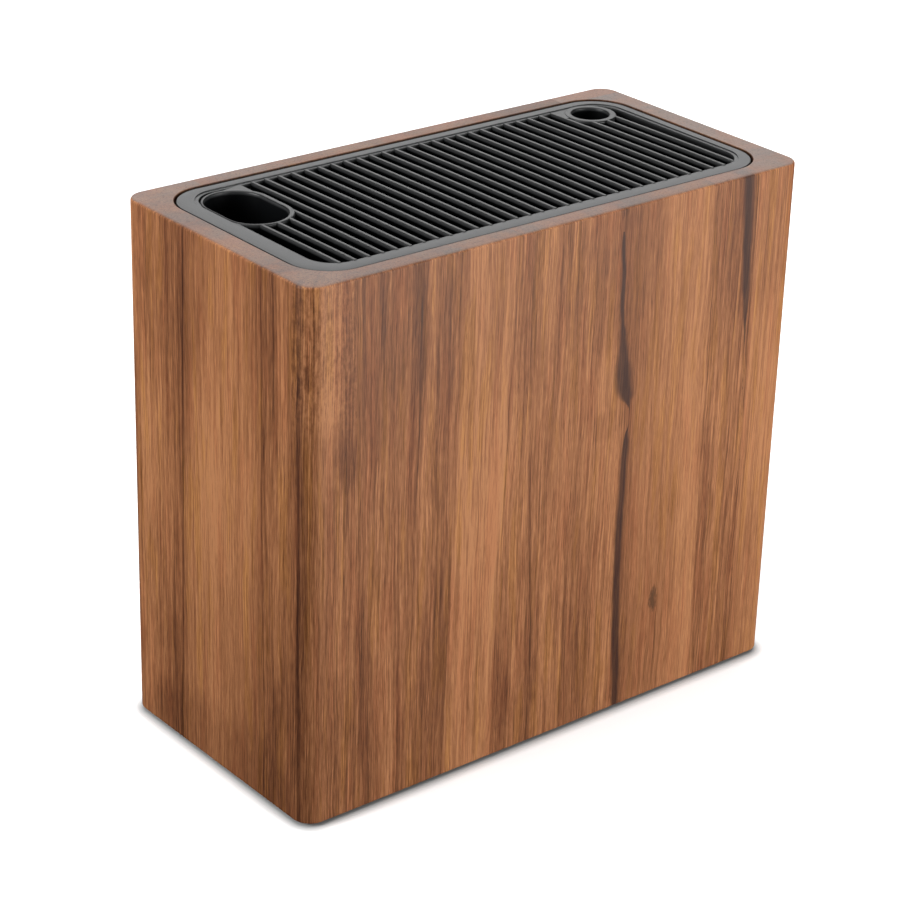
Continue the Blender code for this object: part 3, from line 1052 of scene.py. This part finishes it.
def build_feet():
    """Thin pads with a rounded edge and a shallow round groove underneath."""
    made = rubber("foot_rubber_bloom")
    for node in ("foot_front_left", "foot_front_right", "foot_back_left", "foot_back_right"):
        low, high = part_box(node)
        x, y = (low.x + high.x) / 2, (low.y + high.y) / 2
        radius = (high.x - low.x) / 2
        profile = [(radius, high.z)]
        for inset, drop in quarter(PAD_ROUND):
            profile.append((radius - inset, low.z + drop))
        for inset, rise in zip(PAD_GROOVE_INSETS, (0, PAD_GROOVE_DEPTH, PAD_GROOVE_DEPTH, 0)):
            profile.append((radius - inset, low.z + rise))
        rings = [oval_ring(x, y, 0, reach, z) for reach, z in profile]
        finish_piece(f"{node}_pad", loft(rings, hollow=False), made, "case", "foot_rubber", node)


# ---- insert

FLANGE_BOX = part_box("insert_frame")
FLANGE_TOP = FLANGE_BOX[1].z
LEDGE_TOP = FLANGE_TOP - LEDGE_DROP
PLATES = sorted(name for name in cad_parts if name.startswith("slot_plate_"))


def opening_box():
    """Left, right, front and back of the opening inside the ledge."""
    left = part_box("scissors_chute")[0].x + OPENING_LEFT_INSET
    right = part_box("steel_chute")[1].x + OPENING_RIGHT_MARGIN
    front = min(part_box(name)[0].y for name in PLATES) - OPENING_MARGIN
    back = max(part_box(name)[1].y for name in PLATES) + OPENING_MARGIN
    return left, right, front, back


OPENING = opening_box()


def opening_ring(grow, z):
    """A level ring at one distance outside the insert's opening."""
    left, right, front, back = OPENING
    return rounded_rectangle(
        left - grow, right + grow, front - grow, back + grow, OPENING_CORNER + grow, z
    )


def build_frame(made):
    """Flange, ledge and skirt of the insert, with every upper edge rounded."""
    outer = RIM + FLANGE_PLAY
    corner = REBATE_CORNER - FLANGE_PLAY
    skirt = WALL + SKIRT_PLAY
    inner = skirt + SKIRT_WALL
    underside = SHELF + FLANGE_CLEARANCE
    ledge_underside = LEDGE_TOP - LEDGE_THICKNESS
    skirt_bottom = FLANGE_BOX[0].z
    skirt_corner = CAVITY_CORNER - SKIRT_PLAY
    rings = [hollow_ring(outer, corner, underside)]
    for inset, drop in quarter(FLANGE_ROUND):
        rings.append(hollow_ring(outer + inset, corner - inset, FLANGE_TOP - drop))
    for inset, drop in reversed(list(quarter(LEDGE_ROUND))):
        rings.append(opening_ring(LEDGE_WIDTH + inset, FLANGE_TOP - drop))
    rings.append(opening_ring(LEDGE_WIDTH, LEDGE_TOP))
    for inset, drop in reversed(list(quarter(LEDGE_ROUND))):
        rings.append(opening_ring(inset, LEDGE_TOP - drop))
    rings += [
        opening_ring(0, ledge_underside),
        hollow_ring(inner, skirt_corner - SKIRT_WALL, ledge_underside),
        hollow_ring(inner, skirt_corner - SKIRT_WALL, skirt_bottom),
        hollow_ring(skirt, skirt_corner, skirt_bottom),
        hollow_ring(skirt, skirt_corner, underside),
    ]
    bm = loft(rings, hollow=True)
    finish_piece("insert_frame_moulded", bm, made, "insert", "insert_plastic", "insert_frame")


def plate_section(half, top, bottom):
    """A plate across X and Z: a flat top with round edges, and sides that spread to the foot."""
    ease = min(PLATE_EASE, half * 0.6)
    corner = list(quarter(ease))
    outline = [(-half - PLATE_DRAFT, bottom), (half + PLATE_DRAFT, bottom)]
    outline += [(half - inset, top - drop) for inset, drop in corner]
    outline += [(inset - half, top - drop) for inset, drop in reversed(corner)]
    return outline


def build_plates(made):
    """The row of upright plates. Each bows slightly and its front tip laps over the ledge."""
    top = LEDGE_TOP + PLATE_RISE
    for name in PLATES:
        low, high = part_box(name)
        middle = (low.x + high.x) / 2
        half = (high.x - low.x) / 2 - PLATE_PLAY
        edge = low.y - OPENING_MARGIN
        back = high.y + (PLATE_LAP if high.y > OPENING[3] - 1 * MM else PLATE_REACH)
        rings = []
        for step in range(TIP_STEPS):
            angle = math.radians(90 * step / TIP_STEPS)
            y = edge - PLATE_LAP * math.cos(angle)
            share = math.sin(angle)
            tip_top = top - (1 - share) * (PLATE_RISE + TIP_DROP)
            narrow = half * (TIP_WIDTH + (1 - TIP_WIDTH) * share)
            rings.append(plate_ring(middle, narrow, y, tip_top, LEDGE_TOP - TIP_DEPTH))
        for step in range(BOW_STEPS + 1):
            y = edge + (back - edge) * step / BOW_STEPS
            rings.append(plate_ring(middle, half, y, top, low.z))
        bm = loft(rings, hollow=False)
        finish_piece(f"{name}_fin", bm, made, "insert", "insert_plastic", name, sharp=50)


def plate_ring(middle, half, y, top, bottom):
    """One cross-section of a plate, set over by the plate's bow at this Y."""
    _, _, front, back = OPENING
    share = min(max((y - front) / (back - front), 0), 1)
    bow = PLATE_BOW * (0.25 - share**PLATE_BOW_POWER)
    return [(middle + bow + dx, y, z) for dx, z in plate_section(half, top, bottom)]


def build_chute(made, node, lip_radius, inner_radius, lip_shift, web_angles, web_reach):
    """An upright tube with a wide rounded lip at its mouth, and a flat web from it to the ledge."""
    low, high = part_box(node)
    x, y = (low.x + high.x) / 2, (low.y + high.y) / 2
    tube = (high.x - low.x) / 2
    straight = (high.y - low.y) / 2 - tube
    mouth = high.z
    wide = x + lip_shift
    rings = [
        oval_ring(x, y, straight, tube, low.z),
        oval_ring(x, y, straight, tube, mouth - LIP_DEPTH - LIP_TAPER),
        oval_ring(wide, y, straight, lip_radius, mouth - LIP_DEPTH),
    ]
    for inset, drop in quarter(LIP_ROUND):
        rings.append(oval_ring(wide, y, straight, lip_radius - inset, mouth - drop))
    for inset, drop in reversed(list(quarter(LIP_ROUND))):
        rings.append(oval_ring(x, y, straight, inner_radius + inset, mouth - drop))
    rings.append(oval_ring(x, y, straight, inner_radius, low.z))
    bm = loft(rings, hollow=True)
    add_web(bm, x, y + straight, inner_radius + WEB_INTO_WALL, web_angles, web_reach)
    finish_piece(f"{node}_moulded", bm, made, "insert", "insert_plastic", node)


def add_web(bm, x, y, radius, angles, reach):
    """A flat web that fills the corner between a chute's round end and the back ledge."""
    back = OPENING[3] + WEB_INTO_LEDGE
    top = LEDGE_TOP + WEB_RISE
    start, end = angles
    loops = []
    for z in (top - WEB_THICKNESS, top - WEB_EASE, top):
        loop = []
        for step in range(WEB_STEPS + 1):
            angle = math.radians(start + (end - start) * step / WEB_STEPS)
            loop.append(bm.verts.new((x + radius * math.cos(angle), y + radius * math.sin(angle), z)))
        inset = WEB_EASE if z == top else 0
        side = reach + (inset if reach < 0 else -inset)
        loop.append(bm.verts.new((x + side, back, z)))
        loop.append(bm.verts.new((x + side, y + radius * math.sin(math.radians(start)), z)))
        loops.append(loop)
    skin(bm, zip(loops, loops[1:]))
    bm.faces.new(loops[0])
    bm.faces.new(loops[-1])


def build_insert():
    made = plastic("insert_plastic_satin", CHUTE_SHADED_BLACK, CHUTE_SHINE)
    build_frame(plastic("insert_frame_satin", FRAME_SHADED_BLACK, FRAME_SHINE))
    build_plates(plastic("slot_plate_satin", PLATE_SHADED_BLACK, PLATE_SHINE))
    for settings in CHUTES:
        build_chute(made, *settings)


# ---- studio


def build_floor():
    """A plain pale floor that glows a little and lights nothing, with a painted contact shadow next to
    the case, where it is darker and glows less.
    """
    graph = Graph("studio_floor")
    x, y, _ = graph.place()
    corner = CASE_CORNER / MM
    reach = 0.0
    for socket, half in ((x, HALF_WIDTH), (y, HALF_DEPTH)):
        past = graph.subtract(graph.math("ABSOLUTE", socket), half / MM - corner)
        off = graph.math("MAXIMUM", past, 0.0)
        reach = graph.add(reach, graph.multiply(off, off))
    distance = graph.subtract(graph.math("SQRT", reach), corner)
    # Painted contact shadow: darker and glowing less within CONTACT_SHADOW_MM of the case
    clear = graph.fade(distance, -2.0, CONTACT_SHADOW_MM)
    shaded = (FLOOR_GREY_IN_PAINTED_SHADOW,) * 3 + (1.0,)
    pale = (FLOOR_GREY,) * 3 + (1.0,)
    graph.look("Base Color", graph.mix(clear, shaded, pale))
    graph.look("Roughness", 0.9)
    graph.look("Specular IOR Level", 0.0)
    graph.look("Emission Color", (1.0, 1.0, 1.0, 1.0))
    graph.look("Emission Strength", graph.multiply(clear, FLOOR_GLOW))
    mesh = bpy.data.meshes.new("studio_floor")
    bm = bmesh.new()
    bmesh.ops.create_circle(bm, cap_ends=True, segments=64, radius=FLOOR_RADIUS)
    bm.to_mesh(mesh)
    bm.free()
    mesh.materials.append(graph.material)
    floor = bpy.data.objects.new("studio_floor", mesh)
    floor.visible_diffuse = False
    floor.visible_glossy = False
    bpy.context.scene.collection.objects.link(floor)


def softbox(name, at, width, height, power):
    """A rectangular soft light, turned to the object, that the camera doesn't see."""
    light = bpy.data.lights.new(name, "AREA")
    light.shape = "RECTANGLE"
    light.size = width
    light.size_y = height
    light.energy = power
    lamp = bpy.data.objects.new(name, light)
    lamp.location = at
    aim = Vector(LIGHT_TARGET) - Vector(at)
    lamp.rotation_mode = "QUATERNION"
    lamp.rotation_quaternion = aim.to_track_quat("-Z", "Y")
    lamp.visible_camera = False
    bpy.context.scene.collection.objects.link(lamp)


def build_world():
    """A dim grey room whose lower half is dimmer still. The soft boxes do most of the lighting."""
    world = bpy.data.worlds.new("studio_world")
    world.use_nodes = True
    tree = world.node_tree
    background = tree.nodes["Background"]
    split = tree.nodes.new("ShaderNodeSeparateXYZ")
    ramp = tree.nodes.new("ShaderNodeMapRange")
    tree.links.new(tree.nodes.new("ShaderNodeTexCoord").outputs["Generated"], split.inputs[0])
    tree.links.new(split.outputs[2], ramp.inputs["Value"])
    span = (*WORLD_FADE, WORLD_BELOW, WORLD_ABOVE)
    for key, value in zip(("From Min", "From Max", "To Min", "To Max"), span):
        ramp.inputs[key].default_value = value
    tree.links.new(ramp.outputs[0], background.inputs["Strength"])
    bpy.context.scene.world = world


def build_studio():
    bpy.context.scene.view_settings.view_transform = "Standard"
    build_world()
    for settings in SOFTBOXES:
        softbox(*settings)


def build_camera():
    yaw, pitch, roll = CAMERA_YAW, CAMERA_PITCH, CAMERA_ROLL
    forward = Vector(
        (math.sin(yaw) * math.cos(pitch), math.cos(yaw) * math.cos(pitch), -math.sin(pitch))
    )
    level = Vector((math.cos(yaw), -math.sin(yaw), 0))
    upright = level.cross(forward)
    right = math.cos(roll) * level + math.sin(roll) * upright
    up = -math.sin(roll) * level + math.cos(roll) * upright
    data = bpy.data.cameras.new("camera")
    data.lens = LENS_MM
    data.sensor_width = SENSOR_MM
    camera = bpy.data.objects.new("camera", data)
    turned = Matrix((right, up, -forward)).transposed().to_4x4()
    camera.matrix_world = Matrix.Translation(CAMERA_AT) @ turned
    bpy.context.scene.collection.objects.link(camera)
    bpy.context.scene.camera = camera


build_camera()
build_case()
build_base()
build_feet()
build_insert()
build_floor()
build_studio()
